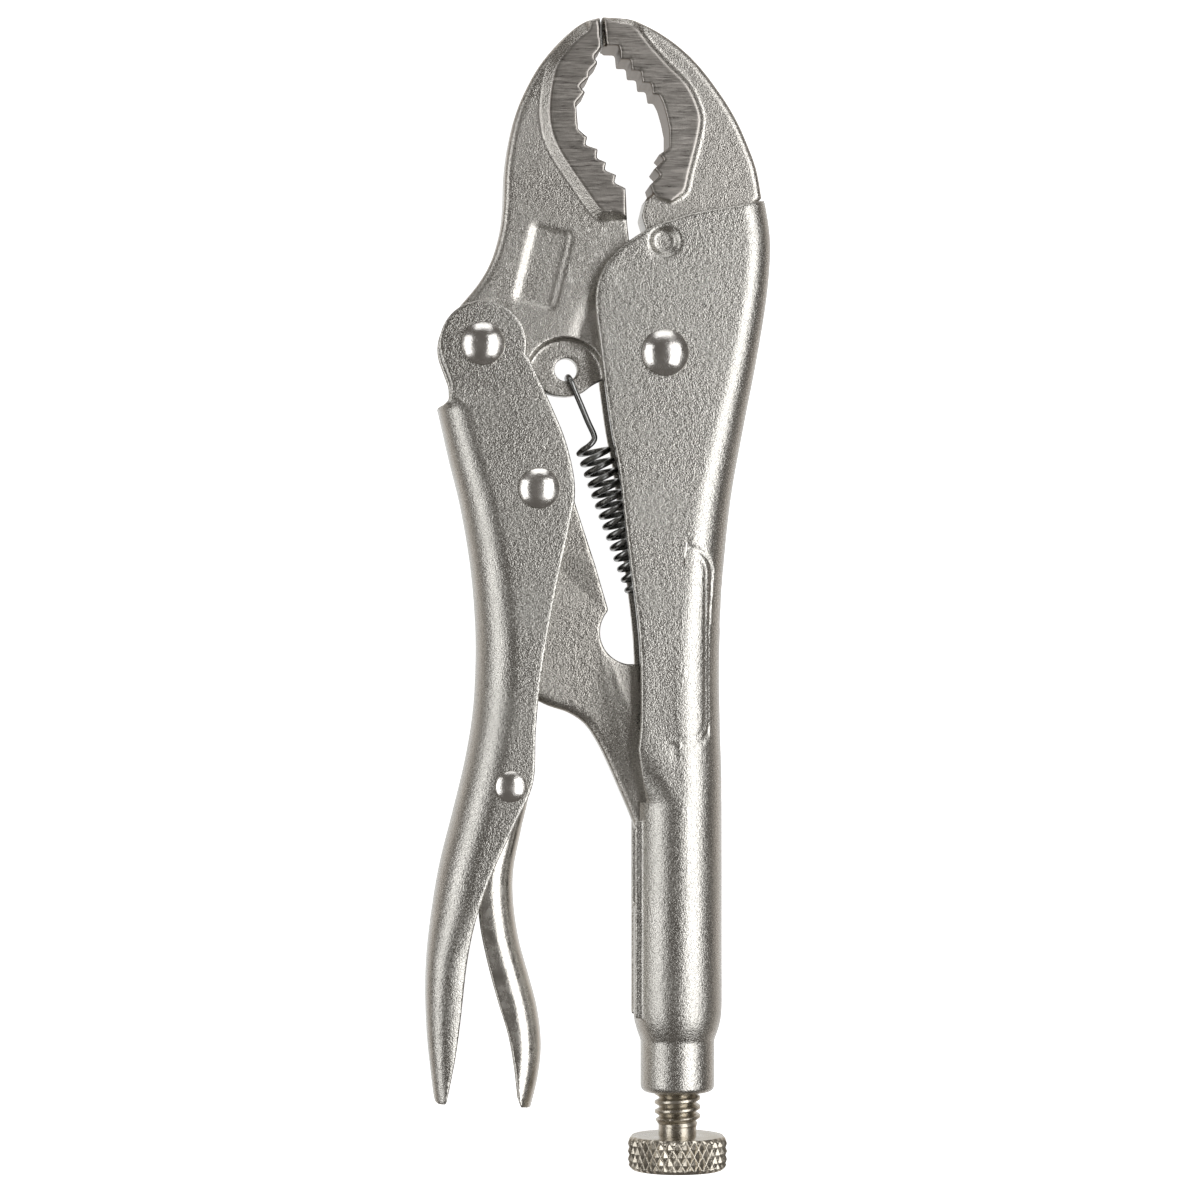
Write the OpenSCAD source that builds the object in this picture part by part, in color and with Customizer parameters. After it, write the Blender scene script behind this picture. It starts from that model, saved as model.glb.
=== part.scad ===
// Curved-jaw locking pliers, closed and locked, lying flat on their rivet heads.
// X runs across the tool, Y along it towards the jaw tips, Z along the rivets.
// Every outline is drawn about the main pivot in the mid-plane of the tool, and place()
// moves the finished piece so that the origin is under the middle of the tool.

/* [Handles] */
// Thickness of the handle sheet
sheet_t = 2.0; // [1.8:0.1:2.0]
// Width of both handles over their two walls
handle_w = 13.4; // [13.4:0.1:13.8]
// Outer radius of the folds along the handle backs
fold_r = 4.6; // [4.2:0.1:4.8]
// Outer width of the release lever
lever_w = 8.4; // [8.0:0.1:8.6]
// Thickness of the release lever sheet
lever_t = 1.5; // [1.3:0.1:1.6]

/* [Jaws] */
// Thickness of the forged jaws
jaw_t = 9.2; // [9.0:0.1:9.2]
// Thickness over the ground faces beside the teeth
ground_t = 10.4; // [10.0:0.1:11.0]
// Thickness of the spring lug of the movable jaw
lug_t = 3.4; // [3.0:0.1:4.0]

/* [Tube and screw] */
// Outer radius of the tube at the end of the fixed handle
tube_r = 6.8; // [6.8:0.05:6.9]
// Outer radius of the crimped end that holds the screw
crimp_r = 5.65; // [5.4:0.05:5.8]
// Outer radius of the screw thread
thread_r = 3.5; // [3.3:0.05:3.5]
// Radius of the plain neck below the screw head
neck_r = 2.9; // [2.7:0.05:3.0]
// Radius of the knurled screw head
knob_r = 7.6; // [7.2:0.1:7.6]
// Height of the knurled screw head
knob_h = 5.1; // [4.5:0.1:5.1]

/* [Rivets] */
// Shank diameter of the main pivot rivet
main_shank_d = 5.0; // [4.6:0.1:5.2]
// Shank diameter of the rivet between the movable jaw and handle
jaw_shank_d = 4.6; // [4.2:0.1:4.8]
// Shank diameter of the link rivet
link_shank_d = 4.2; // [4.0:0.1:4.4]
// Shank diameter of the release lever rivet
lever_shank_d = 3.2; // [3.0:0.1:3.4]
// Head diameter of the main pivot rivet
main_head_d = 7.1; // [6.8:0.1:7.3]
// Head diameter of the rivet between the movable jaw and handle
jaw_head_d = 6.5; // [6.2:0.1:6.6]
// Head diameter of the link rivet
link_head_d = 6.15; // [6.0:0.05:6.3]
// Head diameter of the release lever rivet
lever_head_d = 4.7; // [4.5:0.1:4.9]
// Radial clearance of a rivet or screw in its hole
running_gap = 0.05; // [0.03:0.01:0.08]

/* [Toggle link] */
// Width of the link at its rivet
link_w = 9.0; // [8.8:0.1:9.0]
// Width of the link at its tail, inside the tube
link_tail_w = 5.2; // [5.0:0.1:5.2]
// Thickness of the link sheet
link_t = 1.8; // [1.6:0.1:1.8]

/* [Spring] */
// Wire diameter of the spring
wire_d = 0.9; // [0.8:0.05:1.0]
// Outer diameter of the coils
coil_d = 5.3; // [5.0:0.1:5.3]
// Number of coils
coil_turns = 13; // [11:1:13]
// Length of the coiled stretch
coil_l = 23; // [22:0.5:23]

/* [Hidden] */
$fn = 48;

// Reach of the tool from the main pivot to each side, and half its height over the rivets
left_reach = 36.1;
right_reach = 16.4;
tip_reach = 51.2;
knob_reach = 124.3;
rivet_reach = 8.6;
pivot_at = [(left_reach - right_reach) / 2, (knob_reach - tip_reach) / 2, rivet_reach];

// Rivet axes and the axis of the screw, about the main pivot
main_at = [0, 0];
jaw_rivet_at = [-27.6, 1.2];
link_rivet_at = [-19.1, -20.6];
lever_rivet_at = [-23.4, -65.6];
tail_at = [2.4, -80];
screw_x = 2.4;

half_w = handle_w / 2;
half_gap = half_w - sheet_t;
// Play under a rivet head
seat_gap = 0.02;
// How far a cutting solid runs past the surface it cuts
past = 1;
hair = 0.01;

// Where the tube starts, where the channel ends inside its wall and where the tail slot ends
tube_top = -68;
channel_end = -68.5;
slot_end = -84;
slot_half = 2.9;
seam_half = 0.15;
tube_end = -112.5;
// Deepest reach of the slot and the seam into the tube from outside its wall
slot_reach = 5;
seam_reach = 6;

// Point at fraction u between b and c on a smooth curve through a, b, c and d
function spline(a, b, c, d, u) =
    0.5 * (2 * b + (c - a) * u + (2 * a - 5 * b + 4 * c - d) * u * u
    + (3 * b - a - 3 * c + d) * u * u * u);

// Smooth curve through the points p, with n steps between neighbours
function curve(p, n) = [
    for (i = [0 : len(p) - 2], k = [0 : n - 1])
        spline(p[max(i - 1, 0)], p[i], p[i + 1], p[min(i + 2, len(p) - 1)], k / n),
    p[len(p) - 1]
];

// Round stretch of radius r about the point c, from angle a to angle b
function arc(c, r, a, b, n = 10) = [
    for (k = [0 : n]) c + r * [cos(a + (b - a) * k / n), sin(a + (b - a) * k / n)]
];

function reversed(p) = [for (i = [len(p) - 1 : -1 : 0]) p[i]];

module place() {
    translate(pivot_at) children();
}

// Plate from z to -z with the given outline
module plate(outline, z) {
    translate([0, 0, -z]) linear_extrude(2 * z) polygon(outline);
}

module bore(at, d) {
    translate([at[0], at[1], -half_w - past])
        cylinder(r = d / 2 + running_gap, h = handle_w + 2 * past);
}

// --- Folded channels -------------------------------------------------------------------
// A channel is a stack of sections at right angles to Y. One section is
// [y, back, lip, half width, fold radius, lip curl angle, thickness]: the back is the x of
// the fold side and the lip the x where the walls end. Side is 1 for a back towards +X.

fold_steps = 6;
curl_steps = 3;
// Straight run that a lip with no curl ends in, which shrinks as the lip curls
curl_run = 1.5;
tube_curl = 48;
// Curl of the lips that the cut edge removes
edge_curl = 8;

// One wall of a section, from the lip to the middle of the back, r inside the fold radius
function wall(s, r, side, up) =
    let (mid = s[3] - s[4])
    concat(
        [for (k = [curl_steps : -1 : 0])
            let (u = k / curl_steps, a = s[5] * u)
            [s[2] - side * (curl_run * (1 - s[5] / tube_curl) * u + r * sin(a)), s[0],
                up * (mid + r * cos(a))]],
        [for (k = [0 : fold_steps])
            let (a = 90 * k / fold_steps)
            [s[1] - side * (s[4] - r * sin(a)), s[0], up * (mid + r * cos(a))]]
    );

function section(s, side) = concat(
    wall(s, s[4], side, 1), reversed(wall(s, s[4], side, -1)),
    wall(s, s[4] - s[6], side, -1), reversed(wall(s, s[4] - s[6], side, 1))
);

module channel(sections, side) {
    rings = [for (s = sections) section(s, side)];
    n = len(rings[0]);
    last = len(rings) - 1;
    skin = [
        for (i = [0 : last - 1], k = [0 : n - 1])
            let (m = (k + 1) % n)
            side < 0 ? [i * n + k, (i + 1) * n + k, (i + 1) * n + m, i * n + m]
                : [i * n + m, (i + 1) * n + m, (i + 1) * n + k, i * n + k]
    ];
    first_cap = [for (k = [0 : n - 1]) k];
    last_cap = [for (k = [0 : n - 1]) last * n + k];
    polyhedron(
        [for (r = rings, p = r) p],
        concat(skin, [side < 0 ? first_cap : reversed(first_cap)],
            [side < 0 ? reversed(last_cap) : last_cap]),
        convexity = 10
    );
}

// --- Fixed side ------------------------------------------------------------------------

// Back of the fixed handle, from above its top edge down to the tube
fixed_back = [
    [14.6, 27], [15.8, 22], [16.4, 16.5], [15.9, 9], [14.3, -1], [12.4, -11], [10.5, -22],
    [9.3, -34], [8.8, -46], [8.9, -56], [9.15, -64], [9.15, channel_end]
];
// Lip of the fixed handle by height: past the cut edge above, then the start of the curl
fixed_lip = [
    [channel_end, screw_x], [-60, -2], [-56, -2.4], [-50, -5], [-20, -9], [0, -12], [27, -14]
];
fixed_half = [[tube_top, half_w + 0.05], [-58, half_w]];
fixed_fold = [[tube_top, half_w - 0.1], [-56, fold_r]];
fixed_curl = [[tube_top, tube_curl], [-60, 8], [-58, 6]];
fixed_sections = [
    for (p = curve(fixed_back, 3))
        [p[1], p[0], lookup(p[1], fixed_lip), lookup(p[1], fixed_half),
            lookup(p[1], fixed_fold), lookup(p[1], fixed_curl), sheet_t]
];
// Cut edge of the fixed handle over its top and down the open side
fixed_edge = curve([
    [18, 24.4], [15.5, 23.6], [12.3, 22.7], [8.1, 22], [3.6, 21.1], [-2.4, 18.9],
    [-7.2, 15.6], [-9.7, 12.2], [-10.6, 8], [-9.9, 1], [-8.3, -11], [-7, -18],
    [-5.6, -30], [-4.3, -40], [-3.8, -47], [-3.8, -57], [-4.8, -61.5], [-8, -64]
], 4);
fixed_outline = concat([[24, 26]], fixed_edge, [[-12, -66], [-12, -72], [24, -72]]);

dimple_at = [-0.15, 16.9];
dimple_r = 2.4;
dimple_floor_r = 1.5;
dimple_depth = 0.9;
// Stake that a dimple pushes into the fixed jaw, and the pocket it fills
stake_r = 2.1;
stake_h = 0.6;
pocket_r = 2.2;
pocket_h = 0.8;

// Tab pressed in from the back of the handle, which the spring hooks on, and its window
tab_y = -42.2;
tab_t = 1.8;
tab_half = 1.2;
tab_from = -1.2;
tab_to = 8;
window_from = 5.6;
window_reach = 8;
window_l = 8.4;
window_gap = 0.2;

// Where the tube starts to narrow, where the crimped end is down to size, and its rim
crimp_from = 99;
crimp_at = 104.6;
crimp_edge = 1;
bore_narrows = 101;
thread_from = 104;
// The tube is drawn with a bore this much too small, which tube_bore() then opens
blank_t = 0.5;
blank_lead = 1;
// The bore starts this far above the tube, so that it clears the channel's end inside it
bore_lead = 0.7;

module turned(profile) {
    translate([screw_x, 0, 0]) rotate([90, 0, 0]) rotate_extrude($fn = 64) polygon(profile);
}

module tube_blank() {
    wall_r = tube_r - sheet_t - blank_t;
    turned(concat(
        [[wall_r, -tube_top], [tube_r, -tube_top], [tube_r, crimp_from]],
        curve([[tube_r, crimp_from], [tube_r - 0.12, 101], [tube_r - 0.5, 102.8],
            [crimp_r, crimp_at]], 3),
        arc([crimp_r - crimp_edge, -tube_end - crimp_edge], crimp_edge, 0, 90, 6),
        [[thread_r - blank_t, -tube_end], [thread_r - blank_t, thread_from - blank_lead],
            [wall_r, bore_narrows - blank_lead]]
    ));
}

module tube_bore() {
    bore_r = tube_r - sheet_t;
    screw_r = thread_r + running_gap;
    turned([
        [0, -tube_top - bore_lead], [bore_r, -tube_top - bore_lead], [bore_r, bore_narrows],
        [screw_r, thread_from], [screw_r, -tube_end + past], [0, -tube_end + past]
    ]);
}

module fixed_handle() {
    wall_x = screw_x - tube_r;
    color("silver") place() difference() {
        union() {
            intersection() {
                channel(fixed_sections, 1);
                plate(fixed_outline, handle_w);
            }
            tube_blank();
            // Stakes pressed into the fixed jaw
            for (up = [-1, 1]) translate([dimple_at[0], dimple_at[1], up * half_gap])
                cylinder(r = stake_r, h = 2 * stake_h, center = true);
            translate([tab_from, tab_y - tab_t / 2, -tab_half])
                cube([tab_to - tab_from, tab_t, 2 * tab_half]);
        }
        tube_bore();
        bore(main_at, main_shank_d);
        for (up = [0, 1]) mirror([0, 0, up])
            translate([dimple_at[0], dimple_at[1], half_w - dimple_depth])
            cylinder(r1 = dimple_floor_r, r2 = dimple_r, h = dimple_depth + hair);
        // Window that the tab is pressed from
        translate([window_from, tab_y + tab_t / 2, -tab_half - window_gap])
            cube([window_reach, window_l, 2 * (tab_half + window_gap)]);
        // Slot for the link's tail, then the seam of the rolled tube
        translate([wall_x - 2 * past, slot_end, -slot_half])
            cube([slot_reach, channel_end - slot_end + past, 2 * slot_half]);
        translate([wall_x - 2 * past, tube_end - past, -seam_half])
            cube([seam_reach, slot_end - tube_end + 2 * past, 2 * seam_half]);
    }
}

// Outer edge of the fixed jaw, from its tip to the top edge of the handle
fixed_jaw_back = curve([
    [-9.2, 51.2], [-5.4, 51], [-3.3, 50.3], [-0.4, 48.8], [2.8, 46.5], [5.8, 43.5],
    [9.1, 39.1], [11.3, 35.4], [12.9, 31.8], [14.1, 28.2], [14.7, 24.9]
], 3);
fixed_teeth = [
    [-2.8, 23.6], [-1.8, 24.4], [-2.2, 25.6], [-0.7, 27.1], [-1.6, 28], [-0.1, 29.5],
    [-0.9, 30.2], [0.7, 31.3], [0.7, 34], [0.3, 36], [-0.3, 38.1], [-0.9, 39.3],
    [-1.8, 39.3], [-2.1, 41.1], [-3.4, 41.1], [-3.6, 42.9], [-5, 42.9], [-5.2, 44.6],
    [-6.7, 44.6], [-6.9, 46.7], [-8.8, 46.7]
];
// Shank inside the handle, clear of the movable jaw's eye
eye_r = 7.4;
shank_gap = 0.5;
fixed_shank = concat(
    [[11.4, 24.2], [11.4, 12], [10.6, 4], [9.4, -2.4]],
    arc(main_at, eye_r + shank_gap, -8, 96, 12),
    [[-2.7, 18.6], [-3.4, 20.9]]
);
fixed_jaw_outline = concat(fixed_jaw_back, fixed_shank, fixed_teeth);
fixed_ground = concat(
    curve([[-9, 50.4], [-4.6, 50.4], [-2.3, 47.6], [0.4, 44.4], [3.7, 41.1], [5.6, 36.6],
        [5.6, 33.6], [4.1, 27.8], [2.9, 24.2], [1, 23.3]], 3),
    [[-1, 23.6]], [for (i = [1 : len(fixed_teeth) - 1]) fixed_teeth[i]]
);

module fixed_jaw() {
    color("darkgray") place() difference() {
        union() {
            plate(fixed_jaw_outline, jaw_t / 2);
            plate(fixed_ground, ground_t / 2);
        }
        for (up = [-1, 1]) translate([dimple_at[0], dimple_at[1], up * half_gap])
            cylinder(r = pocket_r, h = 2 * pocket_h, center = true);
    }
}

// --- Movable jaw -----------------------------------------------------------------------

movable_back = curve([
    [-9.7, 51.2], [-11.6, 50.8], [-13.6, 49.6], [-16.2, 47.2], [-18.9, 43.9], [-20.9, 40.4],
    [-22.5, 36.6], [-23.6, 32], [-24.2, 27.5], [-24.4, 22.5], [-24.9, 18.5],
    [-26.2, 14.2], [-28.2, 10.6], [-31, 7.2]
], 3);
movable_teeth = [
    [-5.2, 17.4], [-5.7, 21.5], [-5.9, 25.1], [-7.6, 25.9], [-7.3, 27.1], [-9.1, 27.8],
    [-8.8, 29], [-10.3, 29.6], [-10.1, 31], [-12, 31.6], [-11.7, 32.8], [-13.1, 34],
    [-13.4, 38], [-12, 39.6], [-12.9, 40.5], [-11.4, 41.9], [-11.5, 42.6], [-10.1, 44.1],
    [-10.7, 45], [-9.6, 46.4]
];
jaw_eye_r = 6.2;
lug_at = [-15, -3.6];
lug_r = 6.1;
hook_at = [-14.8, -2.3];
hook_r = 1.75;
movable_outline = concat(
    movable_back,
    arc(jaw_rivet_at, jaw_eye_r, 128, 318, 14),
    curve([[-20.8, -2.6], [-18.4, -4.8], [-14.6, -6.2], [-10.8, -5.6]], 4),
    arc(main_at, eye_r, 232, 460, 20),
    [[-4, 10.5], [-5, 14]],
    movable_teeth
);
movable_ground = concat(
    [[-9.9, 50.6]],
    curve([[-11.6, 50.2], [-14.2, 47.4], [-16, 43.2], [-16.9, 38.8], [-17, 34.5], [-15.2, 30.9],
        [-12, 26], [-9.6, 23.2], [-8.2, 22.3], [-5.6, 22.8]], 3),
    [for (i = [2 : len(movable_teeth) - 1]) movable_teeth[i]]
);

// Sunk panel on the upper face, left blank
panel_at = [-18.4, 13.2];
panel_size = [6.9, 13];
panel_lean = -14;
panel_corner = 1.2;
panel_depth = 0.4;

module panel() {
    translate([panel_at[0], panel_at[1], jaw_t / 2 - panel_depth]) rotate(panel_lean)
        linear_extrude(2) union() {
            square([panel_size[0], panel_size[1] - 2 * panel_corner], center = true);
            square([panel_size[0] - 2 * panel_corner, panel_size[1]], center = true);
            for (x = [-1, 1], y = [-1, 1])
                translate([x * (panel_size[0] / 2 - panel_corner),
                    y * (panel_size[1] / 2 - panel_corner)]) circle(r = panel_corner, $fn = 24);
        }
}

module movable_jaw() {
    color("gray") place() difference() {
        union() {
            plate(movable_outline, jaw_t / 2);
            plate(movable_ground, ground_t / 2);
        }
        bore(main_at, main_shank_d);
        bore(jaw_rivet_at, jaw_shank_d);
        panel();
        translate([hook_at[0], hook_at[1], -jaw_t]) cylinder(r = hook_r, h = 2 * jaw_t);
        // Thin web of the spring lug, stepped down on both faces
        for (up = [0, 1]) mirror([0, 0, up]) translate([lug_at[0], lug_at[1], lug_t / 2])
            cylinder(r = lug_r, h = jaw_t);
    }
}

// --- Movable handle --------------------------------------------------------------------

step_y = -8.4;
handle_back = curve([
    [-34.3, step_y], [-32.6, -16], [-30.9, -23], [-29.5, -31], [-28.7, -39], [-28.5, -46],
    [-28.9, -54], [-30.1, -61.5], [-32, -69.5], [-34.1, -78], [-35.5, -87], [-36.1, -95],
    [-35.9, -103], [-35.2, -110], [-34.7, -114]
], 3);
// Above the step the back swings out past the cut edge, which leaves flat ears
ear_back = [[-44, 9], [-42, 2.5], [-40, -4]];
handle_sections = [
    for (p = concat(ear_back, handle_back))
        [p[1], p[0], lookup(p[1], [[-114, -28], [-90, -24], [-60, -14], [-9, -10]]),
            lookup(p[1], [[-114, half_w - 1.2], [-95, half_w - 0.2], [-85, half_w]]),
            fold_r, edge_curl, sheet_t]
];
handle_edge = curve([
    [-20.8, -0.6], [-17.6, -7.4], [-15, -13.8], [-13.7, -20.5], [-14.5, -26.2],
    [-16.8, -37.2], [-18.8, -49], [-19.6, -57], [-20, -65], [-22.6, -71], [-26.6, -79.2],
    [-29.2, -86], [-30.8, -92.5], [-31.8, -100.7], [-32.4, -106], [-32.9, -110], [-33.1, -113.6]
], 4);
ear_r = 6.6;
handle_outline = concat(
    arc(jaw_rivet_at, ear_r, 345, 562, 20),
    [[-32.5, -4.6], [-32.4, -6.4], [-32, step_y], [-42, step_y], [-42, -112], [-35.4, -112.9],
        [-34.2, -113.6]],
    reversed(handle_edge)
);

module movable_handle() {
    color("silver") place() difference() {
        intersection() {
            channel(handle_sections, -1);
            plate(handle_outline, handle_w);
        }
        bore(jaw_rivet_at, jaw_shank_d);
        bore(link_rivet_at, link_shank_d);
        bore(lever_rivet_at, lever_shank_d);
    }
}

// --- Release lever ---------------------------------------------------------------------

lever_fold_r = 2.4;
lever_back = curve([
    [-21.6, -56], [-20.7, -60], [-20.3, -66], [-21.6, -72.5], [-22.7, -78.5], [-22.7, -83.5],
    [-21.9, -89], [-20.4, -94.5], [-19.1, -99.5], [-18.5, -105], [-19, -110], [-20.1, -114.6]
], 3);
lever_sections = [
    for (p = lever_back) [p[1], p[0], -34, lookup(p[1], [[-115, lever_w / 2 - 0.6],
        [-100, lever_w / 2]]), lever_fold_r, edge_curl, lever_t]
];
lever_outline = concat(
    [[-16, -55], [-16, -115], [-20.4, -114.6], [-21.7, -114.4]],
    curve([[-22, -113.6], [-22.5, -109], [-23.4, -104], [-25.1, -98.4], [-26.7, -92.3],
        [-27.8, -86.5], [-28.1, -80], [-27.7, -72], [-27.2, -66]], 3),
    curve([[-27, -64.6], [-25.6, -60.4], [-24, -58], [-22.4, -57.2], [-21.2, -57.6]], 3),
    [[-20, -57.6], [-20, -55]]
);

module release_lever() {
    color("lightgray") place() difference() {
        intersection() {
            channel(lever_sections, 1);
            plate(lever_outline, lever_w);
        }
        bore(lever_rivet_at, lever_shank_d);
    }
}

// --- Toggle link -----------------------------------------------------------------------

link_eye_r = 5.4;
link_tail_r = 3.3;
notch_at = [-4.8, -42.3];
notch_r = 4.9;
// The link is drawn here with its folded back on the outline's left and lower side
link_open_side = concat(
    arc(tail_at, link_tail_r, 0, 12, 2),
    [[4.2, -66], [0.4, -54.5], [-2.6, -49]],
    arc(notch_at, notch_r, 278, 138, 14),
    [[-10.4, -32.4], [-13.6, -22.6]]
);
link_back_side = curve([
    [-24.3, -22], [-23.6, -30], [-22.4, -40], [-21.4, -48], [-20.4, -51.6], [-17.8, -53.4],
    [-14.4, -54.6], [-11.8, -56.4], [-9.9, -59.2], [-8.3, -62.4], [-6.8, -65.8], [-5, -70],
    [-2.9, -75.6], [-0.9, -80.4]
], 3);
link_outline = concat(
    link_open_side,
    arc(link_rivet_at, link_eye_r, 0, 180, 12),
    link_back_side,
    arc(tail_at, link_tail_r, 188, 352, 12)
);
// Centre line of the link, which the width tapers along
link_run = tail_at - link_rivet_at;
link_turn = atan2(link_run[1], link_run[0]);
taper_from = 12;
taper_to = 45;

// Wedge that is wide at the rivet and narrow at the tail, inset by t all round
module link_taper(t) {
    half = link_w / 2 - t;
    tail_half = link_tail_w / 2 - t;
    translate([link_rivet_at[0], link_rivet_at[1], 0]) rotate([0, 0, link_turn])
        rotate([90, 0, 0]) translate([0, 0, -30]) linear_extrude(60) polygon([
            [-10, -half], [taper_from, -half], [taper_to, -tail_half], [75, -tail_half],
            [75, tail_half], [taper_to, tail_half], [taper_from, half], [-10, half]
        ]);
}

module toggle_link() {
    back_inside = [for (p = link_back_side) if (p[1] > -71) p + [link_t, 0.4 * link_t]];
    color("silver") place() difference() {
        intersection() {
            plate(link_outline, handle_w);
            link_taper(0);
        }
        intersection() {
            plate(concat([[10, -10], [-24.3 + link_t, -14]], back_inside, [[10, -71]]), handle_w);
            link_taper(link_t);
        }
        bore(link_rivet_at, link_shank_d);
    }
}

// --- Adjusting screw -------------------------------------------------------------------

// The gap below the link's tail lets it dip while the linkage turns
tail_gap = 3.7;
nose_tip = -tail_at[1] + link_tail_r + tail_gap;
nose_l = 3.4;
nose_r = 3.3;
nose_edge = 0.8;
// Play between the two pieces of the screw
nose_gap = 0.05;
neck_fillet = 0.6;
neck_from = 117.4;
knob_from = knob_reach - knob_h;
knob_edge = 0.6;

module adjusting_screw() {
    screw_tip = nose_tip + nose_l + nose_gap;
    color("gainsboro") place() turned(concat(
        [[0, screw_tip], [thread_r, screw_tip], [thread_r, neck_from]],
        arc([neck_r + neck_fillet, neck_from + neck_fillet], neck_fillet, 270, 180, 3),
        [[neck_r, knob_from], [knob_r - knob_edge, knob_from], [knob_r, knob_from + knob_edge],
            [knob_r, knob_reach - knob_edge], [knob_r - knob_edge, knob_reach], [0, knob_reach]]
    ));
}

module screw_nose() {
    color("gainsboro") place() turned([
        [0, nose_tip], [nose_r - nose_edge, nose_tip], [nose_r, nose_tip + nose_edge],
        [nose_r, nose_tip + nose_l], [0, nose_tip + nose_l]
    ]);
}

// --- Return spring ---------------------------------------------------------------------

spring_end = [-0.8, tab_y];
spring_run = spring_end - hook_at;
spring_turn = atan2(spring_run[1], spring_run[0]);
spring_l = norm(spring_run);
coil_from = 12.4;
mean_r = (coil_d - wire_d) / 2;
spring_steps = 12;
// Height of the wire's centre where it lies on a face of the lug
front = lug_t / 2 + 0.65;

// Wire centre line: along the spring from the hook hole, then across it, then along Z
spring_path = concat(
    // Hook through the hole of the lug, and the leg that leads to the coils
    [[2.4, 0, -front], [0.9, 0, -front - 0.1], [0, 0, -front + 0.5], [-0.3, 0, -0.8],
        [-0.3, 0, 0.8], [0, 0, front - 0.5], [0.9, 0.1, front + 0.1], [3, 0.2, front],
        [5.2, 0.4, front - 0.3], [8, 0.8, 1.2], [10.4, 1.4, 0.4], [11.6, 2, -0.3]],
    [for (k = [0 : coil_turns * spring_steps])
        let (a = 360 * k / spring_steps, run = k / (coil_turns * spring_steps))
        [coil_from + coil_l * run, mean_r * cos(a), mean_r * sin(a)]],
    // Loop round the tab
    [[coil_from + coil_l + 1.2, 1.7, 1.2], [spring_l - 3.4, 0.7, 1.9]],
    [for (a = [100 : -40 : -140]) [spring_l + mean_r * cos(a), 0, mean_r * sin(a)]]
);

function unit(v) = v / norm(v);

function headings(path) =
    let (last = len(path) - 1)
    [for (i = [0 : last]) unit(path[min(i + 1, last)] - path[max(i - 1, 0)])];

// Wire of radius r along the path: each ring keeps the turn of the one before it
module wire(path, r, n) {
    last = len(path) - 1;
    along = headings(path);
    sides = [
        for (i = 0, v = unit(cross(along[0], [0, 1, 0])); i <= last;
            i = i + 1, v = i <= last ? unit(v - (v * along[i]) * along[i]) : v) v
    ];
    points = [
        for (i = [0 : last], k = [0 : n - 1])
            let (a = 360 * k / n)
            path[i] + r * (cos(a) * sides[i] + sin(a) * cross(along[i], sides[i]))
    ];
    polyhedron(
        points,
        concat(
            [for (i = [0 : last - 1], k = [0 : n - 1], half = [0, 1])
                let (m = (k + 1) % n)
                half == 0 ? [i * n + k, (i + 1) * n + k, (i + 1) * n + m]
                    : [i * n + k, (i + 1) * n + m, i * n + m]],
            [[for (k = [0 : n - 1]) k]],
            [[for (k = [n - 1 : -1 : 0]) last * n + k]]
        ),
        convexity = 20
    );
}

module return_spring() {
    color("dimgray") place()
        translate([hook_at[0], hook_at[1], 0]) rotate([0, 0, spring_turn])
        wire(spring_path, wire_d / 2, 6);
}

// --- Rivets ----------------------------------------------------------------------------

jaw_head_h = 1.7;
link_head_h = 1.6;
lever_head_h = 1.2;

// Rivet with a shank through both walls and a domed head on each outer face
module rivet(at, shank_d, head_d, head_h) {
    seat = half_w + seat_gap;
    head_r = head_d / 2;
    dome_r = (head_r * head_r + head_h * head_h) / (2 * head_h);
    edge = asin(head_r / dome_r);
    dome = arc([0, seat + head_h - dome_r], dome_r, 90 - edge, 90, 8);
    translate([at[0], at[1], 0]) rotate_extrude($fn = 48) polygon(concat(
        [[shank_d / 2, -seat], [shank_d / 2, seat]],
        dome,
        reversed([for (p = dome) [p[0], -p[1]]])
    ));
}

module main_pivot_rivet() {
    color("gainsboro") place()
        rivet(main_at, main_shank_d, main_head_d, rivet_reach - half_w - seat_gap);
}

module jaw_handle_rivet() {
    color("gainsboro") place() rivet(jaw_rivet_at, jaw_shank_d, jaw_head_d, jaw_head_h);
}

module link_rivet() {
    color("gainsboro") place() rivet(link_rivet_at, link_shank_d, link_head_d, link_head_h);
}

module release_lever_rivet() {
    color("gainsboro") place()
        rivet(lever_rivet_at, lever_shank_d, lever_head_d, lever_head_h);
}

fixed_handle();
fixed_jaw();
movable_jaw();
movable_handle();
toggle_link();
release_lever();
adjusting_screw();
screw_nose();
return_spring();
main_pivot_rivet();
jaw_handle_rivet();
link_rivet();
release_lever_rivet();
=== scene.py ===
import math

import bmesh
import bpy
import numpy as np
from mathutils import Matrix, Vector


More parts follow.
